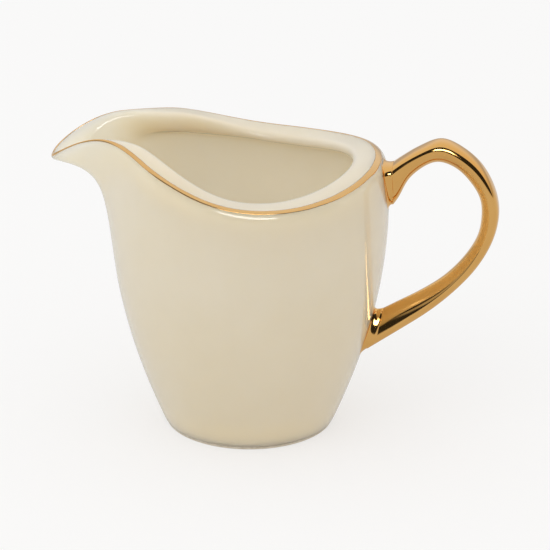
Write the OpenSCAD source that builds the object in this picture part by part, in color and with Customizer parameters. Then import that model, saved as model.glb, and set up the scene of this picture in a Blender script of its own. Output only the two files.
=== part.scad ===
// Porcelain cream jug: a round slip-cast shell that runs out into a pouring spout,
// with a wide lip turned in around the mouth, a bare foot ring to stand on, and a
// strap handle luted on at the back. The handle is gilded, and a gold line runs
// round the edge of the lip.
//
// Millimetres, +Z up. The origin is the centre of the foot on the table, the spout
// points along -X and the handle along +X. The plane y = 0 is the plane of symmetry.
// Every angle called a is measured round the axis from the middle of the spout, so
// a = 0 is the spout tip and a = 180 is the handle.

/* [Body] */
// Radius of the wall where it meets the foot
foot_r = 27; // [26:0.1:28]
// Largest radius of the belly
belly_r = 43.8; // [42.5:0.1:45]
// Height where the belly is widest
belly_z = 68; // [65:1:70]
// How full the curve is from the foot up to the belly
belly_power = 1.8; // [1.7:0.05:2]
// Thickness of the fired wall
wall = 3; // [2.6:0.1:3.2]
// Height of the inside floor above the table
floor_z = 6.5; // [6:0.1:7.5]

/* [Rim] */
// Height of the rim above the handle
rim_back_z = 90.2; // [89:0.1:91]
// Height of the rim at its lowest, on each side
rim_dip_z = 86; // [85:0.1:87]
// How far behind the axis the rim is lowest
rim_dip_x = 12; // [10:1:14]
// Height of the rim at its highest, on each side of the spout
rim_crest_z = 97.8; // [97:0.1:99]
// How far in front of the axis the rim is highest
rim_crest_x = 43; // [42:1:45]
// Height of the rim at the tip of the spout
rim_tip_z = 88.8; // [88:0.1:90]
// Mean radius of the rim, leaving out the spout
rim_r = 40.7; // [40.5:0.1:41.5]
// How much farther the rim stands out at the sides than front to back
rim_side = 0.2; // [0:0.05:0.5]
// Drop of the rounded shoulder from the rim down to the wall
shoulder_drop = 3.6; // [3.2:0.1:4]
// How far the shoulder stands outside the rim at the sides
shoulder_out = 2.2; // [1.9:0.1:2.4]

/* [Spout] */
// How far the spout reaches beyond the round rim
spout_reach = 21.6; // [20:0.1:23]
// Angle at which the spout has half its reach
spout_half = 13.1; // [13:0.1:14.5]
// How square the plan of the spout is
spout_power = 3.3; // [2.9:0.1:3.6]
// How far the rim is drawn in on each side of the spout
spout_pinch = 0.8; // [0:0.1:1.2]
// Rise of the underside where it runs out to the tip, in degrees
spout_rise = 9; // [6:1:15]

/* [Lip] */
// Radius of the mouth inside the lip
mouth_r = 32.3; // [31.5:0.1:33]
// How much wider the mouth is at the sides, or narrower where it is below 0
mouth_side = -0.6; // [-1:0.1:0]
// How far the mouth runs out along the spout
mouth_reach = 20.3; // [18:0.1:21]
// Angle at which the mouth has half that reach
mouth_half = 16.6; // [16:0.1:17]
// Depth of the lip's inner edge down to the undercut, round the handle end
lip_depth = 2.9; // [2.6:0.1:3.4]
// How much deeper the lip's inner edge is beside the spout
lip_fall = 3; // [2.4:0.1:3.2]

/* [Foot ring] */
// Height of the bare ring that the jug stands on
foot_h = 1; // [0.8:0.1:1.2]
// Inner radius of the bare ring
foot_inner_r = 21.8; // [21:0.1:22.5]

/* [Handle] */
// Width of the strap
strap_w = 9; // [8:0.1:9.4]
// Thickness of the gold on the handle and the rim
gold_t = 0.15; // [0.12:0.01:0.2]
// Thickness of the slip that joins the handle to the wall
slip_t = 0.8; // [0.6:0.05:0.9]
// How far the slip spreads round each root of the handle
slip_spread = 1.2; // [1:0.1:1.6]

/* [Hidden] */
// Steps round half of the rim, closer together at the spout and at the handle
half_steps = 40;
spacing = 0.45;
// Height where the wall starts to change from the round belly to the rim's outline
blend_z = 52;
// Clearance that keeps touching curved pieces from cutting into each other
gap = 0.03;
// Width of the gold line on top of the lip, and the share of the shoulder it leaves bare
line_in = 1.1;
line_from = 0.75;

// How far the middle of the rim lies behind the axis
rim_shift = 0.2;
// How far the rim is drawn out at the front and at the two rear quarters
rim_quarters = 0.6;
// Angle at which the rim is drawn in most beside the spout, and over how wide an angle
pinch_at = 33;
pinch_width = 13;
// Angle over which the spout's tip changes the wall below it, and how abruptly
nose_half = 13;
nose_power = 3;
// How late the rim rises from the dip to the crest, and falls from the crest to the tip
crest_power = 1.3;
tip_power = 1.8;
// How square the plan of the mouth's spout is
mouth_power = 3.8;
// Direction in which the wall meets the shoulder round the jug, in degrees from outwards
wall_lean = 98;
// How much less the shoulder stands out at the spout than at the handle, each way
shoulder_front = 0.9;
// How far the wall's upper end is drawn in and lifted below the spout's tip
nose_in = 2.4;
nose_up = 1.1;
// How far the wall keeps its direction below and above the bend under the spout
spout_pull_low = 17;
spout_pull_top = 15.5;
// How far the shoulder keeps the wall's direction, and how much less at the tip
shoulder_pull = 3.3;
shoulder_pull_tip = 0.9;
// How far up the upper wall its inside stays parallel, round the jug and less at the spout
inner_top = 0.87;
inner_top_spout = 0.27;
// Angle where the lip's undercut starts beside the spout, and over how wide an angle
lip_from = 14;
lip_over = 20;
// Depth of the lip's rounded inner edge, and its points above that:
// [outwards from the mouth, down from the rim]
lip_edge = 2.1;
lip_round = [[2.2, 0.25], [1, 0.5], [0.3, 1.1]];
// How far along the way from the lip's edge to the wall the undercut's points lie
tuck_at = [0.25, 0.5, 0.75, 0.88];
// How far in front of the axis the lip's inner edge reaches its full depth
lip_fall_x = 30;
// Height of the hollow inside the foot ring, and radius of its flat middle
hollow_z = 2.6;
flat_r = 12;
// Rounded edge of that hollow: [inwards from the ring, down from the hollow]
hollow_round = [[1.4, 0.1], [0.4, 0.5]];
// Size of the foot ring's worn edges, and how far its top flares out
foot_edge = 0.4;
foot_flare = 0.3;
// Heights of the rings on the lower wall's outside and inside
outer_z = [foot_h, 2.5, 5, 9, 14, 20, 27, 34, 41, 47, blend_z];
inner_z = [47, 41, 34, 27, 20, 14, 11];
// How much longer the way through the leaning lower wall is along a radius
lower_slant = 1.04;
// Height whose wall the rounded inner heel starts from, and the heel's points:
// [inwards from that wall, up from the floor]
heel_z = 9;
heel_round = [[1, 2.1], [3.2, 0.8], [6.5, 0.2]];
// The strap's crown line and the middle of its inner face, in the plane y = 0,
// from the upper root over the crest and down to the lower root: [x, z]
crown_pts = [
    [44.4, 87.9], [48, 90.7], [53.2, 94.1], [59.8, 97], [66, 94.9], [72.6, 89.6], [77, 82.2],
    [78.8, 74], [77.2, 65], [72.6, 56], [66, 48], [58, 40.6], [49, 34], [37.6, 26.2]
];
inner_pts = [
    [45.5, 75.2], [47.5, 78.3], [51, 85], [58.2, 90.2], [64.8, 88.6], [69.8, 83.8],
    [72.9, 78.4], [73.5, 72.2], [72.3, 65.4], [68, 58], [61.8, 51.3], [54.6, 46.2],
    [47.8, 42.3], [41.2, 38.5]
];
// Rings per span of the strap
strap_sub = 3;
// Depth of the strap's rounded outer edges, and their points above that:
// [share of half the width, down from the crown]
strap_edge = 2.1;
strap_round = [[0.36, 0.06], [0.65, 0.38], [0.86, 0.9], [0.97, 1.45]];
// How far round the inner face's curve the ridge lies, in degrees, and its other points
ridge_turn = 20;
face_turns = [32, 46, 62, 80];
// How much wider the strap gets at its roots, and over how many rings
root_widen = 0.14;
root_rings = 4;
// Radius of the wall behind the handle, near enough to place the handle's width round it
handle_wall_r = 43;

function mix(p, q, t) = p + (q - p) * t;
function ease(t) = let(c = max(0, min(1, t))) c * c * (3 - 2 * c);
function bell(a, half, p) = 1 / (1 + pow(abs(a) / half, p));
function unit(v) = v / norm(v);

// ---- the rim ----
function fold(a) = a > 180 ? 360 - a : a;
function spout(a) = bell(fold(a), spout_half, spout_power);
function nose(a) = bell(fold(a), nose_half, nose_power);
function pinch(a) = exp(-pow((fold(a) - pinch_at) / pinch_width, 2));
function rim_rad(a) =
    rim_r - rim_shift * cos(a) - rim_side * cos(2 * a) + rim_quarters * cos(3 * a)
    + spout_reach * spout(a) - spout_pinch * pinch(a);
function tip_x() = -rim_rad(0);
function back_x() = rim_rad(180);
function rim_height(a) =
    let(x = -rim_rad(a) * cos(a))
    x > rim_dip_x
    ? rim_dip_z + (rim_back_z - rim_dip_z) * pow((x - rim_dip_x) / (back_x() - rim_dip_x), 2)
    : x > -rim_crest_x
    ? rim_dip_z + (rim_crest_z - rim_dip_z)
        * ease(pow((rim_dip_x - x) / (rim_dip_x + rim_crest_x), crest_power))
    : rim_crest_z - (rim_crest_z - rim_tip_z)
        * pow((-rim_crest_x - x) / (-rim_crest_x - tip_x()), tip_power);
function mouth_rad(a) =
    mouth_r + mouth_side * pow(sin(a), 2) + mouth_reach * bell(fold(a), mouth_half, mouth_power);

// ---- the outer wall: [radius, height] at each angle ----
function belly(z) =
    belly_r - (belly_r - foot_r) * pow(max(0, 1 - z / belly_z), belly_power);
function belly_slope(z) = (belly(z + 0.1) - belly(z - 0.1)) / 0.2;
function rise(a) = mix(wall_lean, spout_rise, nose(a));
function run_out(a) = [cos(rise(a)), sin(rise(a))];
function wall_end(a) = [
    rim_rad(a) + shoulder_out - shoulder_front * cos(a) - nose_in * nose(a),
    rim_height(a) - shoulder_drop + nose_up * nose(a)
];
// Four points that steer the upper wall from the belly to the shoulder
function steer(a) =
    let(
        p0 = [belly(blend_z), blend_z],
        p3 = wall_end(a),
        third = (p3[1] - blend_z) / 3
    )
    [
        p0,
        p0 + (third + spout_pull_low * spout(a)) * [belly_slope(blend_z), 1],
        p3 - mix(third, spout_pull_top, spout(a)) * run_out(a),
        p3
    ];
function cubic(p, t) =
    pow(1 - t, 3) * p[0] + 3 * pow(1 - t, 2) * t * p[1] + 3 * (1 - t) * t * t * p[2]
    + pow(t, 3) * p[3];
function cubic_dir(p, t) =
    unit(pow(1 - t, 2) * (p[1] - p[0]) + 2 * (1 - t) * t * (p[2] - p[1]) + t * t * (p[3] - p[2]));
function rim_pt(a) = [rim_rad(a), rim_height(a)];
// The rounded shoulder, from the wall at t = 0 to the rim at t = 1
function shoulder(a, t) =
    let(
        p0 = wall_end(a),
        p1 = p0 + (shoulder_pull - shoulder_pull_tip * nose(a)) * run_out(a),
        p2 = rim_pt(a)
    )
    pow(1 - t, 2) * p0 + 2 * t * (1 - t) * p1 + t * t * p2;

// ---- the inner wall ----
// The wall's thickness along a radius grows where the spout runs nearly along it
function slant(a) =
    let(d = (rim_rad(a + 0.5) - rim_rad(a - 0.5)) * 180 / PI / rim_rad(a))
    sqrt(1 + d * d);
function inner_upper(a, t) =
    let(
        p = cubic(steer(a), t),
        d = cubic_dir(steer(a), t),
        w = wall * (1 + (slant(a) - 1) * t * t)
    )
    [p[0] - w * d[1], p[1] + w * d[0]];
function inner_top_t(a) = inner_top - inner_top_spout * spout(a);
function lip_on(a) = ease((fold(a) - lip_from) / lip_over);
function lip_drop(a) = lip_depth + lip_fall * ease(rim_rad(a) * cos(a) / lip_fall_x);

// One slice of the jug at angle a, from the middle of the underside, up the
// outside, over the lip and down the inside to the middle of the floor
function slice(a) =
    let(
        g = rim_pt(a),
        m = mouth_rad(a),
        z = g[1],
        d = lip_drop(a),
        top = inner_upper(a, inner_top_t(a)),
        flat_in = [g[0] - line_in, z],
        edge = [m, z - lip_edge],
        tuck = [
            [m + 0.05, z - mix(lip_edge, d, 0.55)],
            [m + 0.2, z - d],
            [m + 1, z - d - 0.7],
            [top[0] - 1.4, z - d - 1.8]
        ]
    )
    concat(
        [[flat_r, hollow_z]],
        [for (p = hollow_round) [foot_inner_r - p[0], hollow_z - p[1]]],
        [[foot_inner_r, foot_h]],
        [for (h = outer_z) [belly(h), h]],
        [for (i = [1 : 9]) cubic(steer(a), i / 9)],
        [for (i = [1 : 4]) shoulder(a, i / 4)],
        [flat_in, mix(flat_in, [m + lip_round[0][0], z - lip_round[0][1]], 0.5)],
        [for (p = lip_round) [m + p[0], z - p[1]]],
        [edge],
        [for (i = [0 : 3]) mix(mix(edge, top, tuck_at[i]), tuck[i], lip_on(a))],
        [for (i = [0 : 6]) inner_upper(a, inner_top_t(a) * (1 - i / 6))],
        [for (h = inner_z) [belly(h) - wall * lower_slant, h]],
        [for (p = heel_round) [belly(heel_z) - wall - p[0], floor_z + p[1]]],
        [[flat_r, floor_z]]
    );

function step_angle(i) =
    let(u = i / half_steps)
    180 * (u - spacing * sin(360 * u) / (2 * PI));
function angle_at(i) = i <= half_steps ? step_angle(i) : 360 - step_angle(2 * half_steps - i);
function around(p, a) = [-p[0] * cos(a), -p[0] * sin(a), p[1]];
steps = 2 * half_steps;

// Faces between ring k and ring k + 1 of a grid of n points round
function band(k, n) = [
    for (i = [0 : n - 1])
        let(j = (i + 1) % n)
        each [
            [k * n + i, (k + 1) * n + i, k * n + j],
            [k * n + j, (k + 1) * n + i, (k + 1) * n + j]
        ]
];

// A closed solid from the rings of a grid, capped with a point at each end
module capped(rings, first, last) {
    n = len(rings[0]);
    m = len(rings);
    pts = concat([for (r = rings) each r], [first, last]);
    faces = concat(
        [for (k = [0 : m - 2]) each band(k, n)],
        [for (i = [0 : n - 1]) [m * n, i, (i + 1) % n]],
        [for (i = [0 : n - 1]) [m * n + 1, (m - 1) * n + (i + 1) % n, (m - 1) * n + i]]
    );
    polyhedron(points = pts, faces = faces, convexity = 8);
}

// A closed solid from rings that join up again, the last with the first
module looped(rings) {
    n = len(rings[0]);
    m = len(rings);
    faces = concat(
        [for (k = [0 : m - 2]) each band(k, n)],
        [
            for (i = [0 : n - 1])
                let(j = (i + 1) % n)
                each [
                    [(m - 1) * n + i, i, (m - 1) * n + j],
                    [(m - 1) * n + j, i, j]
                ]
        ]
    );
    polyhedron(points = [for (r = rings) each r], faces = faces, convexity = 8);
}

// ---- where the handle meets the wall ----
// Radius at height z on a curve that rises from f(0) to f(1)
function rad_at(f, z, lo = 0, hi = 1, n = 14) =
    let(t = (lo + hi) / 2)
    n == 0
    ? f(t)[0]
    : f(t)[1] < z ? rad_at(f, z, t, hi, n - 1) : rad_at(f, z, lo, t, n - 1);
function wall_rad(a, z) =
    z <= blend_z
    ? belly(z)
    : z <= wall_end(a)[1]
    ? let(p = steer(a)) rad_at(function(t) cubic(p, t), z)
    : rad_at(function(t) shoulder(a, t), z);
// Distance of the wall from the axis along X, at a point beside the handle
function wall_x(y, z) =
    let(r = wall_rad(180 - asin(abs(y) / handle_wall_r), z))
    sqrt(r * r - y * y);

// ---- the strap ----
// Half of the strap's outline: [across, outwards]. The crown is at the top, h is half
// the strap's thickness and w is half its width. The outer face is nearly flat and has
// rounded edges. The inner face is round and meets it in a soft ridge on each side.
function half_outline(h, w) =
    let(ridge = h - strap_edge, deep = ridge + h)
    [
        for (p = strap_round) [w * p[0], h - p[1]],
        [w, ridge],
        for (t = face_turns)
            [
                w * cos(t) / cos(ridge_turn),
                ridge - deep * (sin(t) - sin(ridge_turn)) / (1 - sin(ridge_turn))
            ]
    ];
function outline(h, w) =
    let(p = half_outline(h, w), n = len(p))
    concat(
        [[0, h]],
        p,
        [[0, -h]],
        [for (i = [n - 1 : -1 : 0]) [-p[i][0], p[i][1]]]
    );
function smooth_pt(p, i, t) =
    let(
        n = len(p),
        a = p[max(0, i - 1)],
        b = p[i],
        c = p[min(n - 1, i + 1)],
        d = p[min(n - 1, i + 2)]
    )
    0.5 * (2 * b + (c - a) * t + (2 * a - 5 * b + 4 * c - d) * t * t
        + (3 * b - a - 3 * c + d) * t * t * t);
spans = len(crown_pts) - 1;
stations = spans * strap_sub;
function on_curve(p, k) =
    k >= stations ? p[spans] : smooth_pt(p, floor(k / strap_sub), (k % strap_sub) / strap_sub);
// The strap is a little wider where it spreads onto the wall
function spread(k) =
    1 + root_widen * pow(max(0, 1 - min(k, stations - k) / root_rings), 2);
// One ring of the strap, with its surface moved out by grow
function strap_ring(k, grow) =
    let(
        o = on_curve(crown_pts, k),
        i = on_curve(inner_pts, k),
        mid = (o + i) / 2,
        out = unit(o - i),
        h = norm(o - i) / 2,
        w = strap_w / 2 * spread(k)
    )
    [
        for (q = outline(h, w))
            let(
                s = grow / max(norm(q), 0.1),
                y = q[0] * (1 + s),
                v = q[1] * (1 + s),
                p = mid + out * v
            )
            k == 0 || k == stations
            ? [wall_x(y, p[1]) + slip_t + gap, y, p[1]]
            : [p[0], y, p[1]]
    ];
function ring_mid(r) = [for (c = [0 : 2]) (min([for (p = r) p[c]]) + max([for (p = r) p[c]])) / 2];

// The slip round one root: rings round the root's outline on the wall, from the
// middle outwards, with thickness t at each
function slip_ring(root, reach, t) =
    let(c = ring_mid(root))
    [
        for (p = root)
            let(
                d = [p[1] - c[1], p[2] - c[2]],
                far = norm(d),
                q = d * max(0.02, (far * min(1, reach) + slip_spread * max(0, reach - 1)) / far),
                y = c[1] + q[0],
                z = c[2] + q[1]
            )
            [wall_x(y, z) + gap / 2 + t, y, z]
    ];
module slip(root) {
    c = ring_mid(root);
    front = [
        slip_ring(root, 0.5, slip_t - gap / 2),
        slip_ring(root, 1, slip_t - gap / 2),
        slip_ring(root, 1.4, slip_t * 0.45),
        slip_ring(root, 2, 0.08)
    ];
    back = [for (r = [2, 1.4, 1, 0.5]) slip_ring(root, r, 0)];
    x = wall_x(c[1], c[2]) + gap / 2;
    capped(
        concat(front, back),
        [x + slip_t - gap / 2, c[1], c[2]],
        [x, c[1], c[2]]
    );
}

// ---- the pieces ----
module body() {
    slices = [for (i = [0 : steps - 1]) slice(angle_at(i))];
    rings = [
        for (k = [0 : len(slices[0]) - 1])
            [for (i = [0 : steps - 1]) around(slices[i][k], angle_at(i))]
    ];
    color("#dad2bf")
        capped(rings, [0, 0, hollow_z], [0, 0, floor_z]);
}

module foot_ring() {
    color("#d8cdb4")
        rotate_extrude($fn = 128)
            polygon([
                [foot_inner_r + foot_edge, 0],
                [foot_r - foot_edge, 0],
                [foot_r, foot_edge],
                [foot_r + foot_flare, foot_h],
                [foot_inner_r, foot_h],
                [foot_inner_r, foot_edge]
            ]);
}

module handle() {
    rings = [for (k = [0 : stations]) strap_ring(k, 0)];
    color("#e6ddc8")
        capped(rings, ring_mid(rings[0]), ring_mid(rings[stations]));
}

module handle_gilding() {
    skin = [for (k = [0 : stations]) strap_ring(k, gap / 3 + gold_t)];
    lining = [for (k = [stations : -1 : 0]) strap_ring(k, gap / 3)];
    color("#d9a95a")
        looped(concat(skin, lining));
}

module upper_luting_joint() {
    color("#dcb06a")
        slip(strap_ring(0, 0));
}

module lower_luting_joint() {
    color("#dcb06a")
        slip(strap_ring(stations, 0));
}

module rim_gold_line() {
    // From the shoulder over the rim's edge onto the top of the lip
    function strip(a) = [
        shoulder(a, line_from), shoulder(a, 1), [rim_rad(a) - line_in, rim_height(a)]
    ];
    // The direction straight out of the surface at each of those three points
    out = [[cos(40), sin(40)], [cos(72), sin(72)], [0, 1]];
    function lift(a, d) = let(s = strip(a)) [for (k = [0 : 2]) s[k] + d * out[k]];
    lower = [for (i = [0 : steps - 1]) lift(angle_at(i), gap / 3)];
    upper = [for (i = [0 : steps - 1]) lift(angle_at(i), gap / 3 + gold_t)];
    color("#e3be90")
        looped([
            for (k = [0 : 2]) [for (i = [0 : steps - 1]) around(upper[i][k], angle_at(i))],
            for (k = [2 : -1 : 0]) [for (i = [0 : steps - 1]) around(lower[i][k], angle_at(i))]
        ]);
}

body();
foot_ring();
handle();
handle_gilding();
upper_luting_joint();
lower_luting_joint();
rim_gold_line();
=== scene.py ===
import math

import bpy
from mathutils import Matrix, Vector, noise


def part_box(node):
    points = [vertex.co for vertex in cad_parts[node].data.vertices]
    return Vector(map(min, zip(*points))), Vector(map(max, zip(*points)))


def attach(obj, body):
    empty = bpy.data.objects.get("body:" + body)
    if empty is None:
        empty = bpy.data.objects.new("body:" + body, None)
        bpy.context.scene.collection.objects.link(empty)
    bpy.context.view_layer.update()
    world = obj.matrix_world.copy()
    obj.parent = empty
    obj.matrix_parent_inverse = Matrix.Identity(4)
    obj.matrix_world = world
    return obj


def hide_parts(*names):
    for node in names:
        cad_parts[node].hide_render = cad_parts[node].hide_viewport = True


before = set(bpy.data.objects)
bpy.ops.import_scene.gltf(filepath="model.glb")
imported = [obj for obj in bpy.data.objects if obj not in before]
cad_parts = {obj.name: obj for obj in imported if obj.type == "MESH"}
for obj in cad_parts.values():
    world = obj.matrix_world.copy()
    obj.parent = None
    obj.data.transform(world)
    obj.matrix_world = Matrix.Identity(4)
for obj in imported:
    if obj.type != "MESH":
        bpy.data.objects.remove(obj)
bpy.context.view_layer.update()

MM = 0.001

# ---- the driving sizes of the design, in millimetres and degrees ----
FOOT_R = 27
FOOT_INNER_R = 21.8
FOOT_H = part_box("foot_ring")[1].z / MM
BELLY_R = 43.8
BELLY_Z = 68
BELLY_POWER = 1.8
BLEND_Z = 52
WALL = 3
FLOOR_Z = 6.5
# Height of the hollow inside the foot ring, and radius of its flat middle and the floor's
HOLLOW_Z = 2.6
FLAT_R = 12
# How much longer the way through the leaning lower wall is along a radius
LOWER_SLANT = 1.04
# Height whose wall the rounded inner heel starts from, and the heel's points:
# (inwards from that wall, up from the floor)
HEEL_Z = 9
HEEL_ROUND = ((1, 2.1), (3.2, 0.8), (6.5, 0.2))

RIM_R = 40.7
# How far the middle of the rim lies behind the axis, and how far the rim is drawn out at
# the sides, and at the front and the two rear quarters
RIM_SHIFT = 0.2
RIM_SIDE = 0.2
RIM_QUARTERS = 0.6
RIM_BACK_Z = 90.2
RIM_DIP_Z = 86
RIM_DIP_X = 12
RIM_CREST_Z = 97.8
RIM_CREST_X = 43
RIM_TIP_Z = 88.8
# How late the rim rises from the dip to the crest, and falls from the crest to the tip
CREST_POWER = 1.3
TIP_POWER = 1.8
SHOULDER_DROP = 3.6
SHOULDER_OUT = 2.2
# The shoulder stands out by this much less at the spout, and more at the handle
SHOULDER_FRONT = 0.9
# How far the shoulder keeps the wall's direction, and how much less at the tip
SHOULDER_PULL = 3.3
SHOULDER_PULL_TIP = 0.9
# Direction of the wall's upper end round the jug, and at the spout, in degrees up from
# outwards
WALL_LEAN = 98
SPOUT_RISE = 9

SPOUT_REACH = 21.6
SPOUT_HALF = 13.1
SPOUT_POWER = 3.3
SPOUT_PINCH = 0.8
# Angle at which the rim is drawn in most beside the spout, and over how wide an angle
PINCH_AT = 33
PINCH_WIDTH = 13
# Angle over which the spout's tip changes the wall below it, and how abruptly
NOSE_HALF = 13
NOSE_POWER = 3
# How far the wall's upper end is drawn in and lifted below the spout's tip
NOSE_IN = 2.4
NOSE_UP = 1.1
# How far the wall keeps its direction below and above the bend under the spout
SPOUT_PULL_LOW = 17
SPOUT_PULL_TOP = 15.5

MOUTH_R = 32.3
MOUTH_SIDE = -0.6
MOUTH_REACH = 20.3
MOUTH_HALF = 16.6
MOUTH_POWER = 3.8
# Depth of the lip's lower edge, how much deeper it gets towards the spout, and how far in
# front of the axis it has got there
LIP_DEPTH = 2.9
LIP_FALL = 3
LIP_FALL_X = 30
# Angle where the lip's undercut starts beside the spout, and over how wide an angle
LIP_FROM = 14
LIP_OVER = 20
# Depth of the lip's rounded inner edge, and its points above that:
# (outwards from the mouth, down from the rim)
LIP_EDGE = 2.1
LIP_ROUND = ((2.2, 0.25), (1, 0.5), (0.3, 1.1))
# How far up the upper wall its inside stays parallel, round the jug and less at the spout
INNER_TOP = 0.87
INNER_TOP_SPOUT = 0.27
# From the rim inwards to the start of the lip's flat top
LINE_IN = 1.1

STRAP_W = 9
# Depth of the strap's rounded outer edges, and their points above that:
# (share of half the width, down from the crown)
STRAP_EDGE = 2.3
STRAP_ROUND = ((0.34, 0.02), (0.62, 0.2), (0.81, 0.58), (0.93, 1.15), (0.99, 1.8))
# How far round the inner face's curve the ridge and the face's points lie
RIDGE_TURN = 20
FACE_TURNS = (RIDGE_TURN, 28, 36, 46, 58, 70, 82)
# How much the inner face is drawn out, because a smooth curve runs inside its points
FACE_DEEPER = 1.01
FACE_WIDER = 1.015
# How much wider the strap gets at its roots, and over how many of its spans
ROOT_WIDEN = 0.14
ROOT_SPANS = 1.33
# Radius of the wall behind the handle, near enough to place the handle's width round it
HANDLE_WALL_R = 43
GOLD_T = 0.15
# How far the gold's lining stands off the porcelain, and the strap's ends off the wall
GAP = 0.02
# How far a root's fillet spreads on the wall, and over how many stations along the strap
FILLET_OUT = 1.5
FILLET_ALONG = 3
# How far the fillet's edges and the corner of its hollow stand off the surfaces, and how far
# its buried side lies below them
FILLET_EDGE = 0.03
FILLET_CORNER = 0.05
FILLET_SUNK = 0.05

# ---- how finely the surfaces are made ----
COLUMNS = 320
# How much closer the columns stand at the spout and at the handle
COLUMN_SPACING = 0.45
# Rows in one span of a slice, in general and near the rim
SPAN_ROWS = 3
RIM_SPAN_ROWS = 5
# Stations in one span of the strap's lines, and points in one span of its section
STRAP_STEPS = 9
SECTION_STEPS = 3
FILLET_STEPS = 8
LINE_STEPS = 8
# How often the strap's lines are evened out
SMOOTHING = 5


# ---- small helpers ----
def mix(p, q, t):
    return p + (q - p) * t


def mix2(p, q, t):
    return (mix(p[0], q[0], t), mix(p[1], q[1], t))


def ease(t):
    t = max(0, min(1, t))
    return t * t * (3 - 2 * t)


def bell(a, half, power):
    return 1 / (1 + (abs(a) / half) ** power)


def cosd(a):
    return math.cos(math.radians(a))


def sind(a):
    return math.sin(math.radians(a))


def fold(a):
    return 360 - a if a > 180 else a


# ---- the rim and the mouth, in plan and in height ----
def rim_rad(a):
    pinch = math.exp(-(((fold(a) - PINCH_AT) / PINCH_WIDTH) ** 2))
    round_rim = (
        RIM_R - RIM_SHIFT * cosd(a) - RIM_SIDE * cosd(2 * a) + RIM_QUARTERS * cosd(3 * a)
    )
    return round_rim + SPOUT_REACH * bell(fold(a), SPOUT_HALF, SPOUT_POWER) - SPOUT_PINCH * pinch


TIP_X = -rim_rad(0)
BACK_X = rim_rad(180)


def rim_height(a):
    x = -rim_rad(a) * cosd(a)
    if x > RIM_DIP_X:
        back = (x - RIM_DIP_X) / (BACK_X - RIM_DIP_X)
        return RIM_DIP_Z + (RIM_BACK_Z - RIM_DIP_Z) * back**2
    if x > -RIM_CREST_X:
        up = (RIM_DIP_X - x) / (RIM_DIP_X + RIM_CREST_X)
        return RIM_DIP_Z + (RIM_CREST_Z - RIM_DIP_Z) * ease(up**CREST_POWER)
    down = (-RIM_CREST_X - x) / (-RIM_CREST_X - TIP_X)
    return RIM_CREST_Z - (RIM_CREST_Z - RIM_TIP_Z) * down**TIP_POWER


def mouth_rad(a):
    out = MOUTH_REACH * bell(fold(a), MOUTH_HALF, MOUTH_POWER)
    return MOUTH_R + MOUTH_SIDE * sind(a) ** 2 + out


def lip_drop(a):
    return LIP_DEPTH + LIP_FALL * ease(rim_rad(a) * cosd(a) / LIP_FALL_X)


# ---- the outer wall ----
def belly(z):
    return BELLY_R - (BELLY_R - FOOT_R) * max(0, 1 - z / BELLY_Z) ** BELLY_POWER


def nose(a):
    return bell(fold(a), NOSE_HALF, NOSE_POWER)


def run_out(a):
    rise = mix(WALL_LEAN, SPOUT_RISE, nose(a))
    return cosd(rise), sind(rise)


def wall_end(a):
    return (
        rim_rad(a) + SHOULDER_OUT - SHOULDER_FRONT * cosd(a) - NOSE_IN * nose(a),
        rim_height(a) - SHOULDER_DROP + NOSE_UP * nose(a),
    )


def steer(a):
    """Four points that steer the upper wall from the belly to the shoulder."""
    start = (belly(BLEND_Z), BLEND_Z)
    step = 0.1
    slope = (belly(BLEND_Z + step) - belly(BLEND_Z - step)) / (2 * step)
    end = wall_end(a)
    third = (end[1] - BLEND_Z) / 3
    spout = bell(fold(a), SPOUT_HALF, SPOUT_POWER)
    up = third + SPOUT_PULL_LOW * spout
    back = mix(third, SPOUT_PULL_TOP, spout)
    way = run_out(a)
    return (
        start,
        (start[0] + up * slope, start[1] + up),
        (end[0] - back * way[0], end[1] - back * way[1]),
        end,
    )


def cubic(p, t):
    weights = ((1 - t) ** 3, 3 * (1 - t) ** 2 * t, 3 * (1 - t) * t * t, t**3)
    return tuple(sum(w * q[i] for w, q in zip(weights, p)) for i in (0, 1))


def cubic_dir(p, t):
    weights = ((1 - t) ** 2, 2 * (1 - t) * t, t * t)
    d = [sum(w * (p[k + 1][i] - p[k][i]) for k, w in enumerate(weights)) for i in (0, 1)]
    return Vector(d).normalized()


def shoulder(a, t):
    """The rounded shoulder, from the wall at t = 0 to the rim at t = 1."""
    low = wall_end(a)
    reach = SHOULDER_PULL - SHOULDER_PULL_TIP * nose(a)
    way = run_out(a)
    corner = (low[0] + reach * way[0], low[1] + reach * way[1])
    top = (rim_rad(a), rim_height(a))
    return tuple(
        (1 - t) ** 2 * low[i] + 2 * t * (1 - t) * corner[i] + t * t * top[i] for i in (0, 1)
    )


# ---- the inner wall ----
# Spans of a slice over and under the lip, and down the inside of the upper wall
LIP_SPANS = 10
INSIDE_SPANS = 6


def inner_upper(a, t):
    """A point inside the upper wall. The wall's thickness along a slice grows upwards where
    the slice doesn't meet the wall head on, beside the spout."""
    p = steer(a)
    x, z = cubic(p, t)
    d = cubic_dir(p, t)
    lean = (rim_rad(a + 0.5) - rim_rad(a - 0.5)) * 180 / math.pi / rim_rad(a)
    foot_tint = WALL * (1 + (math.hypot(1, lean) - 1) * t * t)
    return (x - foot_tint * d[1], z + foot_tint * d[0])


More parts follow.
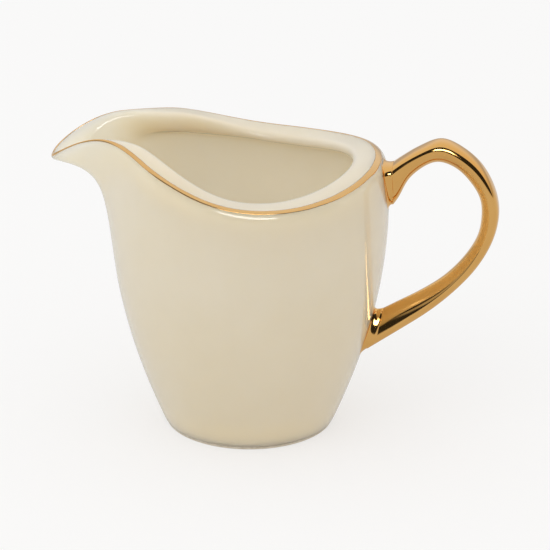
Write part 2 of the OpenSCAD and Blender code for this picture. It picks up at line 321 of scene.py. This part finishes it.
def lip_points(a):
    """From the gold line inwards over the lip, down its inner edge, under it and down the
    inside. A point under the lip is mixed, by how far the undercut is on at this angle, from
    one on the straight way down and the undercut's own."""
    rim = (rim_rad(a), rim_height(a))
    m = mouth_rad(a)
    z = rim[1]
    drop = lip_drop(a)
    top_t = INNER_TOP - INNER_TOP_SPOUT * bell(fold(a), SPOUT_HALF, SPOUT_POWER)
    top = inner_upper(a, top_t)
    edge = (m, z - LIP_EDGE)
    on = ease((fold(a) - LIP_FROM) / LIP_OVER)
    flat_in = rim[0] - LINE_IN
    rounded = [(m + out, z - down) for out, down in LIP_ROUND]
    halfway = (mix(flat_in, rounded[0][0], 0.5), z - 0.12)
    over = [(flat_in, z), halfway, *rounded, edge]
    under = [
        (0.25, (m + 0.05, z - mix(LIP_EDGE, drop, 0.55))),
        (0.5, (m + 0.2, z - drop)),
        (0.75, (m + 1, z - drop - 0.7)),
        (0.88, (top[0] - 1.4, z - drop - 1.8)),
    ]
    down = [mix2(mix2(edge, top, share), hidden, on) for share, hidden in under]
    inside = [inner_upper(a, top_t * (1 - i / INSIDE_SPANS)) for i in range(INSIDE_SPANS + 1)]
    return over + down + inside


# ---- one slice of the jug ----
# Points of the underside, and of the wall's lowest edge outside the foot ring
BASE = [
    (FLAT_R, HOLLOW_Z),
    (FOOT_INNER_R - 1.4, HOLLOW_Z - 0.1),
    (FOOT_INNER_R - 0.4, HOLLOW_Z - 0.5),
    (FOOT_INNER_R, FOOT_H),
    (FOOT_INNER_R + 0.6, FOOT_H),
]
HEEL = [(FOOT_R - 0.6, FOOT_H), (belly(FOOT_H) - 0.1, FOOT_H), (belly(1.6), 1.6)]
# Heights of the points on the lower wall's outside and inside
LOWER_Z = (2.5, 5, 9, 14, 20, 26, 32, 38, 44, 48.5)
INNER_Z = (47, 41, 34, 27, 20, 14, 11)
# Spans of the upper wall and of the shoulder
UPPER_SPANS = 10
SHOULDER_SPANS = 4
# Numbers of the points at which the wall starts and the rim is reached
WALL_FROM = len(BASE) + len(HEEL)
RIM_INDEX = WALL_FROM + len(LOWER_Z) + UPPER_SPANS + SHOULDER_SPANS


def slice_points(a):
    """Points of the slice at angle a: [radius, height] from the middle of the underside,
    up the outside, over the lip and down the inside to the middle of the floor."""
    p = steer(a)
    heel = belly(HEEL_Z) - WALL
    return (
        BASE
        + HEEL
        + [(belly(h), h) for h in LOWER_Z]
        + [cubic(p, i / UPPER_SPANS) for i in range(UPPER_SPANS + 1)]
        + [shoulder(a, i / SHOULDER_SPANS) for i in range(1, SHOULDER_SPANS + 1)]
        + lip_points(a)
        + [(belly(h) - WALL * LOWER_SLANT, h) for h in INNER_Z]
        + [(heel - inwards, FLOOR_Z + up) for inwards, up in HEEL_ROUND]
        + [(FLAT_R, FLOOR_Z)]
    )


def spline(points, s):
    """A point on the smooth curve that a list of points steers, at s points along it."""
    i = int(math.floor(s))
    u = s - i
    weights = (
        (1 - u) ** 3 / 6,
        (3 * u**3 - 6 * u * u + 4) / 6,
        (-3 * u**3 + 3 * u * u + 3 * u + 1) / 6,
        u**3 / 6,
    )
    last = len(points) - 1
    near = [points[max(0, min(last, i + k))] for k in (-1, 0, 1, 2)]
    return tuple(sum(w * q[c] for w, q in zip(weights, near)) for c in range(len(near[0])))


def column_angle(i):
    half = COLUMNS // 2
    u = min(i, COLUMNS - i) / half
    a = 180 * (u - COLUMN_SPACING * sind(360 * u) / (2 * math.pi))
    return a if i <= half else 360 - a


def around(p, a):
    return Vector((-p[0] * cosd(a), -p[0] * sind(a), p[1]))


ANGLES = [column_angle(i) for i in range(COLUMNS)]
SLICES = [slice_points(a) for a in ANGLES]


def wall_x(y, z):
    """How far the outer wall stands from the axis along +X, at a point beside the handle."""
    a = 180 - math.degrees(math.asin(abs(y) / HANDLE_WALL_R))
    points = slice_points(a)
    just_below_rim = RIM_INDEX - 0.3
    low, high = WALL_FROM, just_below_rim
    halvings = 16
    for _ in range(halvings):
        s = (low + high) / 2
        if spline(points, s)[1] < z:
            low = s
        else:
            high = s
    r = spline(points, low)[0]
    return math.sqrt(r * r - y * y)


# ---- meshes ----
def make_piece(name, points, faces, node, material):
    """A smooth mesh from points in millimetres, which stands for a CAD node."""
    mesh = bpy.data.meshes.new(name)
    mesh.from_pydata([p * MM for p in points], [], faces)
    mesh.shade_smooth()
    mesh.materials.append(material)
    piece = bpy.data.objects.new(name, mesh)
    bpy.context.scene.collection.objects.link(piece)
    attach(piece, "root")
    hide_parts(node)
    return piece


def band_faces(first, second, n):
    """Faces between two rings of n points that start at the given point numbers."""
    return [
        (first + i, first + (i + 1) % n, second + (i + 1) % n, second + i) for i in range(n)
    ]


def grid_faces(rings, n, closed):
    faces = [f for k in range(rings - 1) for f in band_faces(k * n, (k + 1) * n, n)]
    if closed:
        faces += band_faces((rings - 1) * n, 0, n)
    return faces


def capped_faces(rings, n):
    """Faces of a grid whose two end rings close on one point each, added after the grid."""
    faces = grid_faces(rings, n, False)
    foot, head = rings * n, rings * n + 1
    last = (rings - 1) * n
    faces += [(foot, (i + 1) % n, i) for i in range(n)]
    faces += [(head, last + i, last + (i + 1) % n) for i in range(n)]
    return faces


def make_body(material):
    """The body with its spout and lip, in finer rows from the shoulder to under the lip."""
    spans = len(SLICES[0]) - 1
    fine = range(RIM_INDEX - SHOULDER_SPANS, RIM_INDEX + LIP_SPANS)
    span_rows = [RIM_SPAN_ROWS if i in fine else SPAN_ROWS for i in range(spans)]
    rows = [i + j / n for i, n in enumerate(span_rows) for j in range(n)]
    points = [around(spline(SLICES[c], s), ANGLES[c]) for s in rows for c in range(COLUMNS)]
    faces = capped_faces(len(rows), COLUMNS)
    middles = [Vector((0, 0, BASE[0][1])), Vector((0, 0, FLOOR_Z))]
    return make_piece("glazed_body", points + middles, faces, "body", material)


def make_foot(material):
    """The bare ring that the jug stands on, with small worn edges."""
    inner, outer = FOOT_INNER_R, FOOT_R
    outline = [
        (inner + 0.02, FOOT_H),
        (inner + 0.02, 0.5),
        (inner + 0.1, 0.16),
        (inner + 0.32, 0.03),
        (inner + 0.7, 0),
        (outer - 0.8, 0),
        (outer - 0.4, 0.04),
        (outer - 0.12, 0.2),
        (outer + 0.06, 0.5),
        (outer + 0.25, FOOT_H),
    ]
    angles = [360 * i / COLUMNS for i in range(COLUMNS)]
    points = [around(p, a) for p in outline for a in angles]
    faces = grid_faces(len(outline), COLUMNS, True)
    return make_piece("bare_foot", points, faces, "foot_ring", material)


def make_gold_line(material):
    """The painted line: a thin film that wraps the rim, with edges that waver a little.
    Its place is in points along the slice, from the rim's own point."""
    below_rim, past_rim = 1.42, 0.48
    film = 0.03
    edge_lift = 0.004
    sunk = 0.06

    def edge_waver(a, seed):
        """How far an edge strays, from noise on a circle, so that it meets itself."""
        at = around((6, seed), a)
        return 0.12 * noise.noise(at) + 0.06 * noise.noise(at * 4)

    def film_point(c, share, lift):
        outside = RIM_INDEX - below_rim + edge_waver(ANGLES[c], 3)
        inside = RIM_INDEX + past_rim + edge_waver(ANGLES[c], 11)
        s = mix(outside, inside, share)
        step = 0.05
        before, p, after = (Vector(spline(SLICES[c], at)) for at in (s - step, s, s + step))
        along = (after - before).normalized()
        out = p + lift * Vector((along[1], -along[0]))
        return around(out, ANGLES[c])

    rings = []
    for j in range(LINE_STEPS + 1):
        share = j / LINE_STEPS
        lift = film * (4 * share * (1 - share)) ** 0.4 + edge_lift
        rings.append([film_point(c, share, lift) for c in range(COLUMNS)])
    for j in range(LINE_STEPS, -1, -1):
        rings.append([film_point(c, j / LINE_STEPS, -sunk) for c in range(COLUMNS)])
    points = [p for ring in rings for p in ring]
    faces = grid_faces(len(rings), COLUMNS, True)
    return make_piece("gold_rim_line", points, faces, "rim_gold_line", material)


# ---- the strap handle ----
# The strap's crown line and the middle of its inner face, in the plane y = 0, from the
# upper root over the crest and down to the lower root: (x, z)
CROWN = [
    (44.4, 87.9), (48, 90.7), (53.2, 94.1), (59.8, 97), (66, 94.9), (72.6, 89.6), (77, 82.2),
    (78.8, 74), (77.2, 65), (72.6, 56), (66, 48), (58, 40.6), (49, 34), (37.6, 26.2),
]
INNER = [
    (45.5, 75.2), (47.5, 78.3), (51, 85), (58.2, 90.2), (64.8, 88.6), (69.8, 83.8),
    (72.9, 78.4), (73.5, 72.2), (72.3, 65.4), (68, 58), (61.8, 51.3), (54.6, 46.2),
    (47.8, 42.3), (41.2, 38.5),
]


def through(points, k, steps):
    """A point on the smooth curve that passes through the points, at step k."""
    last = len(points) - 1
    i = min(k // steps, last - 1)
    t = k / steps - i
    a, b, c, d = [Vector(points[max(0, min(last, i + j))]) for j in (-1, 0, 1, 2)]
    return 0.5 * (
        2 * b + (c - a) * t + (2 * a - 5 * b + 4 * c - d) * t * t + (3 * b - a - 3 * c + d) * t**3
    )


def smoothed(line, passes):
    """Evens out a line of points, keeping its two ends where they are."""
    for _ in range(passes):
        inner = [(p + 2 * q + r) / 4 for p, q, r in zip(line, line[1:], line[2:])]
        line = [line[0], *inner, line[-1]]
    return line


STATIONS = (len(CROWN) - 1) * STRAP_STEPS
CROWN_LINE = smoothed([through(CROWN, k, STRAP_STEPS) for k in range(STATIONS + 1)], SMOOTHING)
INNER_LINE = smoothed([through(INNER, k, STRAP_STEPS) for k in range(STATIONS + 1)], SMOOTHING)


def half_outline(h, w):
    """Half of the strap's outline, (across, outwards), from the middle of the crown: a nearly
    flat outer face with rounded edges, and an inner face that is round all the way across."""
    ridge = h - STRAP_EDGE
    deep = (ridge + h) * FACE_DEEPER
    wide = w * FACE_WIDER
    outer = [(share * w, h - down) for share, down in STRAP_ROUND]
    inner = [
        (
            wide * cosd(t) / cosd(RIDGE_TURN),
            ridge - deep * (sind(t) - sind(RIDGE_TURN)) / (1 - sind(RIDGE_TURN)),
        )
        for t in FACE_TURNS
    ]
    return outer + inner


def section(h, w):
    """The strap's outline as a ring of fine points."""
    side = half_outline(h, w)
    loop = [(0, h), *side, (0, -h), *[(-y, v) for y, v in reversed(side)]]
    wrapped = loop[-1:] + loop + loop[:2]
    places = [1 + i + j / SECTION_STEPS for i in range(len(loop)) for j in range(SECTION_STEPS)]
    return [spline(wrapped, s) for s in places]


def root_spread(k):
    """The strap is a little wider where it spreads onto the wall."""
    near_end = min(k, STATIONS - k) / STRAP_STEPS
    return 1 + ROOT_WIDEN * max(0, 1 - near_end / ROOT_SPANS) ** 2


def strap_ring(k, grow):
    """One ring of the strap at station k, with its surface moved out by grow."""
    crown, inner = CROWN_LINE[k], INNER_LINE[k]
    middle = (crown + inner) / 2
    out = (crown - inner).normalized()
    h = (crown - inner).length / 2
    ring = []
    for y, v in section(h, STRAP_W / 2 * root_spread(k)):
        share = 1 + grow / max(math.hypot(y, v), 0.1)
        p = middle + out * v * share
        ring.append(Vector((p[0], y * share, p[1])))
    return ring


def on_wall(ring, stand_off):
    """The ring carried along X onto the jug's outer wall."""
    return [Vector((wall_x(p.y, p.z) + stand_off, p.y, p.z)) for p in ring]


def strap_rings(grow):
    rings = [strap_ring(k, grow) for k in range(STATIONS + 1)]
    rings[0] = on_wall(rings[0], GAP)
    rings[-1] = on_wall(rings[-1], GAP)
    return rings


def middle_of(ring):
    return sum(ring, Vector()) / len(ring)


def make_handle_core(material):
    """The porcelain strap inside the gilding."""
    rings = strap_rings(0)
    points = [p for ring in rings for p in ring]
    middles = [middle_of(rings[0]), middle_of(rings[-1])]
    faces = capped_faces(len(rings), len(rings[0]))
    points += middles
    return make_piece("porcelain_strap", points, faces, "handle", material)


def make_gilding(material):
    """The gold over the strap: an outer skin and a lining, joined at both roots."""
    rings = strap_rings(GOLD_T) + strap_rings(GAP)[::-1]
    points = [p for ring in rings for p in ring]
    faces = grid_faces(len(rings), len(rings[0]), True)
    return make_piece("gilded_strap", points, faces, "handle_gilding", material)


def make_fillet(name, node, root_k, far_k, material):
    """The gilded slip round the root at station root_k: a hollow curve from the wall onto
    the strap, where it runs out at station far_k."""
    corner = on_wall(strap_ring(root_k, GOLD_T + FILLET_CORNER), 0)
    centre = middle_of(corner)
    spread = []
    for p in corner:
        d = Vector((p.y - centre.y, p.z - centre.z))
        d = d * (1 + FILLET_OUT / d.length)
        spread.append(Vector((p.x, centre.y + d[0], centre.z + d[1])))
    foot = on_wall(spread, FILLET_EDGE)
    head = strap_ring(far_k, GOLD_T + FILLET_EDGE)
    rings = []
    for j in range(FILLET_STEPS + 1):
        t = j / FILLET_STEPS
        rings.append([
            (1 - t) ** 2 * a + 2 * t * (1 - t) * b + t * t * c
            for a, b, c in zip(foot, corner, head)
        ])
    rings.append(strap_ring(far_k, GOLD_T - FILLET_SUNK))
    rings.append(on_wall(strap_ring(root_k, GOLD_T - FILLET_SUNK), -FILLET_SUNK))
    rings.append(on_wall(spread, -FILLET_SUNK))
    points = [p for ring in rings for p in ring]
    faces = grid_faces(len(rings), len(rings[0]), True)
    return make_piece(name, points, faces, node, material)


# ---- materials ----
def new_material(name):
    material = bpy.data.materials.new(name)
    material.use_nodes = True
    nodes = material.node_tree.nodes
    return material, nodes, material.node_tree.links, nodes["Principled BSDF"]


def noise_node(nodes, links, scale, detail):
    """Noise in the object's own space, in metres, so that a scale is in waves per metre."""
    place = nodes.new("ShaderNodeTexCoord")
    texture = nodes.new("ShaderNodeTexNoise")
    texture.inputs["Scale"].default_value = scale
    texture.inputs["Detail"].default_value = detail
    links.new(place.outputs["Object"], texture.inputs["Vector"])
    return texture.outputs["Fac"]


def ramp_node(nodes, links, value, stops):
    """Turns a value into a colour, from stops of (value, colour)."""
    ramp = nodes.new("ShaderNodeValToRGB")
    ramp.color_ramp.elements[0].position = stops[0][0]
    ramp.color_ramp.elements[0].color = stops[0][1]
    ramp.color_ramp.elements[1].position = stops[-1][0]
    ramp.color_ramp.elements[1].color = stops[-1][1]
    for position, colour in stops[1:-1]:
        ramp.color_ramp.elements.new(position).color = colour
    links.new(value, ramp.inputs["Fac"])
    return ramp.outputs["Color"]


def range_node(nodes, links, value, low, high):
    """Maps a value from 0..1 to low..high."""
    ranged = nodes.new("ShaderNodeMapRange")
    ranged.inputs["To Min"].default_value = low
    ranged.inputs["To Max"].default_value = high
    links.new(value, ranged.inputs["Value"])
    return ranged.outputs["Result"]


def bump_node(nodes, links, height, strength, depth, under=None):
    """A bump that stands depth metres high where the height is 1."""
    bump = nodes.new("ShaderNodeBump")
    bump.inputs["Strength"].default_value = strength
    bump.inputs["Distance"].default_value = depth
    links.new(height, bump.inputs["Height"])
    if under is not None:
        links.new(under, bump.inputs["Normal"])
    return bump.outputs["Normal"]


def warmer_low_down(nodes, links, colour):
    """The colour gets a little darker and warmer towards the foot."""
    place = nodes.new("ShaderNodeTexCoord")
    split = nodes.new("ShaderNodeSeparateXYZ")
    links.new(place.outputs["Object"], split.inputs["Vector"])
    height = nodes.new("ShaderNodeMapRange")
    height.inputs["From Min"].default_value = 0.005
    height.inputs["From Max"].default_value = 0.06
    links.new(split.outputs["Z"], height.inputs["Value"])
    foot_tint = ramp_node(nodes, links, height.outputs["Result"], [
        (0.0, (0.99, 0.955, 0.9, 1)),
        (1.0, (1, 1, 1, 1)),
    ])
    product = nodes.new("ShaderNodeMix")
    product.data_type = "RGBA"
    product.blend_type = "MULTIPLY"
    # The Mix node's colour sockets share their names with its other ones, so they are numbered
    colour_a, colour_b, colour_out = product.inputs[6], product.inputs[7], product.outputs[2]
    product.inputs["Factor"].default_value = 1.0
    links.new(colour, colour_a)
    links.new(foot_tint, colour_b)
    return colour_out


def glazed_porcelain():
    """Cream porcelain under a clear, slightly uneven glaze."""
    material, nodes, links, shader = new_material("glazed_porcelain")
    tone = noise_node(nodes, links, scale=32, detail=3)
    colour = ramp_node(nodes, links, tone, [
        (0.3, (0.83, 0.692, 0.494, 1)),
        (0.5, (0.845, 0.706, 0.508, 1)),
        (0.7, (0.86, 0.721, 0.526, 1)),
    ])
    links.new(warmer_low_down(nodes, links, colour), shader.inputs["Base Color"])
    rough = noise_node(nodes, links, scale=260, detail=4)
    links.new(range_node(nodes, links, rough, 0.34, 0.46), shader.inputs["Roughness"])
    shader.inputs["Specular IOR Level"].default_value = 0.2
    shader.inputs["Subsurface Weight"].default_value = 1.0
    shader.inputs["Subsurface Radius"].default_value = (1.0, 1.0, 0.95)
    shader.inputs["Subsurface Scale"].default_value = 0.016
    shader.inputs["Coat Weight"].default_value = 1.0
    shader.inputs["Coat Roughness"].default_value = 0.035
    shader.inputs["Coat IOR"].default_value = 1.5
    waves = noise_node(nodes, links, scale=55, detail=1)
    waves = bump_node(nodes, links, waves, strength=1.0, depth=0.00004)
    peel = noise_node(nodes, links, scale=420, detail=2)
    peel = bump_node(nodes, links, peel, strength=1.0, depth=0.0000025, under=waves)
    links.new(peel, shader.inputs["Normal"])
    links.new(peel, shader.inputs["Coat Normal"])
    return material


def bare_porcelain():
    """The unglazed foot: matt, a little darker, with a fine fired grain."""
    material, nodes, links, shader = new_material("bare_porcelain")
    grain = noise_node(nodes, links, scale=900, detail=5)
    colour = ramp_node(nodes, links, grain, [
        (0.35, (0.60, 0.52, 0.40, 1)),
        (0.65, (0.72, 0.65, 0.52, 1)),
    ])
    links.new(colour, shader.inputs["Base Color"])
    links.new(range_node(nodes, links, grain, 0.7, 0.9), shader.inputs["Roughness"])
    shader.inputs["Specular IOR Level"].default_value = 0.3
    rough = bump_node(nodes, links, grain, strength=0.7, depth=0.00005)
    links.new(rough, shader.inputs["Normal"])
    return material


def bright_gold(name, deep, light, rough_low, rough_high, ripple):
    """Burnished gold over the glaze, with a slightly uneven tone, soft ripples that are
    ripple metres high and much finer ones on top."""
    material, nodes, links, shader = new_material(name)
    tone = noise_node(nodes, links, scale=70, detail=3)
    colour = ramp_node(nodes, links, tone, [(0.3, deep), (0.7, light)])
    links.new(colour, shader.inputs["Base Color"])
    shader.inputs["Metallic"].default_value = 1.0
    shader.inputs["Specular Tint"].default_value = (1.0, 0.93, 0.82, 1)
    shader.inputs["Coat Weight"].default_value = 0.5
    shader.inputs["Coat Roughness"].default_value = 0.03
    shader.inputs["Coat IOR"].default_value = 1.35
    rough = noise_node(nodes, links, scale=340, detail=4)
    links.new(range_node(nodes, links, rough, rough_low, rough_high), shader.inputs["Roughness"])
    waves = noise_node(nodes, links, scale=110, detail=1)
    waves = bump_node(nodes, links, waves, strength=1.0, depth=ripple)
    fine = noise_node(nodes, links, scale=900, detail=3)
    fine = bump_node(nodes, links, fine, strength=1.0, depth=ripple / 60, under=waves)
    links.new(fine, shader.inputs["Normal"])
    return material


# ---- the stage ----
# The studio's light on the jug: its level, and how much brighter it is from above, from in
# front and from the left
STUDIO_LEVEL = 0.83
FROM_ABOVE = 0.54
FROM_FRONT = 0.08
FROM_LEFT = 0.03
# The levels suit the grey that a Background node starts with, so that grey stands for white
STUDIO_WHITE = (0.8, 0.8, 0.8, 1)
STUDIO_WARM = (0.8, 0.73, 0.65, 1)
# The backdrop and the floor as the camera sees them, and the floor's glow on the jug
BACKDROP_SEEN = 0.94
FLOOR_SEEN = 0.6
FLOOR_GLOW = 0.43
# The floor's glow in reflections, in front of the jug and behind it
FLOOR_FRONT = 0.33
FLOOR_BACK = 0.36
# The rest of what is mirrored: the pale sweep low down and high up, the dark room, how much
# brighter the strip in it is, and the share of the sweep that shows low on the left of it
SWEEP_LOW = 0.62
SWEEP_HIGH = 1.1
ROOM_LEVEL = 0.035
STRIP_LEVEL = 11
LOW_LEFT_SHARE = 0.6


def math_node(nodes, links, operation, *values):
    """A sum, product or the like of numbers and node outputs."""
    node = nodes.new("ShaderNodeMath")
    node.operation = operation
    for socket, value in zip(node.inputs, values):
        if isinstance(value, (int, float)):
            socket.default_value = value
        else:
            links.new(value, socket)
    return node.outputs["Value"]


def smooth_step(nodes, links, value, low, high, first=0.0, last=1.0):
    """Goes smoothly from first to last while the value goes from low to high."""
    step = nodes.new("ShaderNodeMapRange")
    step.interpolation_type = "SMOOTHSTEP"
    step.inputs["From Min"].default_value = low
    step.inputs["From Max"].default_value = high
    step.inputs["To Min"].default_value = first
    step.inputs["To Max"].default_value = last
    links.new(value, step.inputs["Value"])
    return step.outputs["Result"]


def by_ray(nodes, links, seen, mirrored, bounced):
    """The level for what the camera sees, for reflections and for bounced light."""
    path = nodes.new("ShaderNodeLightPath")
    camera, glossy = path.outputs["Is Camera Ray"], path.outputs["Is Glossy Ray"]
    known = math_node(nodes, links, "ADD", camera, glossy)
    rest = math_node(nodes, links, "SUBTRACT", 1, known)
    parts = [
        math_node(nodes, links, "MULTIPLY", ray, level)
        for ray, level in ((camera, seen), (glossy, mirrored), (rest, bounced))
    ]
    total = math_node(nodes, links, "ADD", parts[0], parts[1])
    return math_node(nodes, links, "ADD", total, parts[2])


def make_floor():
    """A plain pale floor that glows by itself, more to the camera than in reflections or on the
    jug, which keeps the jug's shadow faint.
    """
    material, nodes, links, shader = new_material("pale_floor")
    shader.inputs["Base Color"].default_value = (0.35, 0.35, 0.35, 1)
    shader.inputs["Roughness"].default_value = 0.9
    shader.inputs["Specular IOR Level"].default_value = 0
    shader.inputs["Emission Color"].default_value = (1, 1, 1, 1)
    place = nodes.new("ShaderNodeTexCoord")
    split = nodes.new("ShaderNodeSeparateXYZ")
    links.new(place.outputs["Object"], split.inputs["Vector"])
    depth = split.outputs["Y"]
    mirrored = smooth_step(nodes, links, depth, -0.06, 0.12, FLOOR_FRONT, FLOOR_BACK)
    glow = by_ray(nodes, links, FLOOR_SEEN, mirrored, FLOOR_GLOW)
    links.new(glow, shader.inputs["Emission Strength"])
    side = 4.0
    mesh = bpy.data.meshes.new("floor")
    corners = [(-side, -side, 0), (side, -side, 0), (side, side, 0), (-side, side, 0)]
    mesh.from_pydata(corners, [], [(0, 1, 2, 3)])
    mesh.materials.append(material)
    floor = bpy.data.objects.new("floor", mesh)
    bpy.context.scene.collection.objects.link(floor)


def make_world():
    """A pale studio, brighter above and in front, and warmer from the right. What is glossy
    sees a sweep that gets brighter upwards and, on the camera's side, a dark room with a
    bright strip in it and a lit part low on the left. Positions are parts of a direction
    of length 1."""
    world = bpy.data.worlds.new("studio")
    bpy.context.scene.world = world
    world.use_nodes = True
    nodes, links = world.node_tree.nodes, world.node_tree.links
    nodes.clear()
    place = nodes.new("ShaderNodeTexCoord")
    split = nodes.new("ShaderNodeSeparateXYZ")
    links.new(place.outputs["Generated"], split.inputs["Vector"])
    x, y, z = split.outputs

    def calc(operation, *values):
        return math_node(nodes, links, operation, *values)

    def step(*values):
        return smooth_step(nodes, links, *values)

    bounced = calc("MULTIPLY_ADD", x, -FROM_LEFT, STUDIO_LEVEL)
    bounced = calc("MULTIPLY_ADD", y, -FROM_FRONT, bounced)
    bounced = calc("MULTIPLY_ADD", z, FROM_ABOVE, bounced)

    sweep = step(z, 0.0, 0.35, SWEEP_LOW, SWEEP_HIGH)
    room_edge = calc("MULTIPLY_ADD", z, 0.34, y)
    in_front = step(room_edge, -0.04, 0.02, 1, 0)
    above_floor = step(z, -0.01, 0.03)
    on_left = step(x, -0.52, -0.44, LOW_LEFT_SHARE, 0)
    low_down = step(z, 0.24, 0.34, 1, 0)
    low_left = calc("MULTIPLY", on_left, low_down)
    dark = calc("MULTIPLY", in_front, above_floor)
    dark = calc("MULTIPLY", dark, calc("SUBTRACT", 1, low_left))
    lit = calc("MULTIPLY", sweep, calc("SUBTRACT", 1, dark))

    strip_x, strip_z = 0.05, 0.48
    off_x = calc("ABSOLUTE", calc("SUBTRACT", x, strip_x))
    off_z = calc("ABSOLUTE", calc("SUBTRACT", z, strip_z))
    strip = calc("MULTIPLY", step(off_x, 0.26, 0.36, 1, 0), step(off_z, 0.09, 0.12, 1, 0))
    strip = calc("MULTIPLY", strip, in_front)
    room = calc("MULTIPLY_ADD", strip, STRIP_LEVEL, ROOM_LEVEL)
    mirrored = calc("MAXIMUM", lit, room)

    to_right = step(x, 0.15, 1.0)
    colour = ramp_node(nodes, links, to_right, [(0.0, STUDIO_WHITE), (1.0, STUDIO_WARM)])
    strength = by_ray(nodes, links, BACKDROP_SEEN, mirrored, bounced)
    studio = nodes.new("ShaderNodeBackground")
    links.new(colour, studio.inputs["Color"])
    links.new(strength, studio.inputs["Strength"])
    output = nodes.new("ShaderNodeOutputWorld")
    links.new(studio.outputs["Background"], output.inputs["Surface"])


def make_light(name, place, size, watts):
    """A soft square light that faces the jug and isn't seen in reflections."""
    data = bpy.data.lights.new(name, "AREA")
    data.shape = "SQUARE"
    data.size = size
    data.energy = watts
    light = bpy.data.objects.new(name, data)
    bpy.context.scene.collection.objects.link(light)
    light.location = place
    middle = Vector((0, 0, 0.05))
    light.rotation_euler = (middle - light.location).to_track_quat("-Z", "Y").to_euler()
    light.visible_glossy = False


def make_camera():
    """A long lens a little above the jug, turned towards the handle's side."""
    target = Vector((0, 0, 0.04434))
    distance = 0.96
    elevation, turn = 22, 7
    away = Vector((sind(turn) * cosd(elevation), -cosd(turn) * cosd(elevation), sind(elevation)))
    data = bpy.data.cameras.new("camera")
    data.sensor_width = 36
    data.lens = 196.36
    data.shift_x = 0.0465
    data.shift_y = 0.0245
    camera = bpy.data.objects.new("camera", data)
    bpy.context.scene.collection.objects.link(camera)
    camera.location = target + away * distance
    camera.rotation_euler = (-away).to_track_quat("-Z", "Y").to_euler()
    bpy.context.scene.camera = camera


bpy.context.scene.view_settings.view_transform = "Standard"
make_camera()
make_world()
make_floor()
make_light("key", place=(-0.9, -1.1, 1.3), size=1.2, watts=4.0)

porcelain = glazed_porcelain()
gilding = bright_gold(
    "gilding",
    deep=(0.8, 0.44, 0.125, 1),
    light=(0.855, 0.49, 0.15, 1),
    rough_low=0.06,
    rough_high=0.1,
    ripple=0.00003,
)
line_gold = bright_gold(
    "rim_gold",
    deep=(0.76, 0.45, 0.165, 1),
    light=(0.82, 0.52, 0.22, 1),
    rough_low=0.07,
    rough_high=0.12,
    ripple=0.00001,
)
make_body(porcelain)
make_foot(bare_porcelain())
make_gold_line(line_gold)
make_handle_core(porcelain)
make_gilding(gilding)
make_fillet("upper_root_fillet", "upper_luting_joint", 0, FILLET_ALONG, gilding)
make_fillet(
    "lower_root_fillet", "lower_luting_joint", STATIONS, STATIONS - FILLET_ALONG, gilding
)
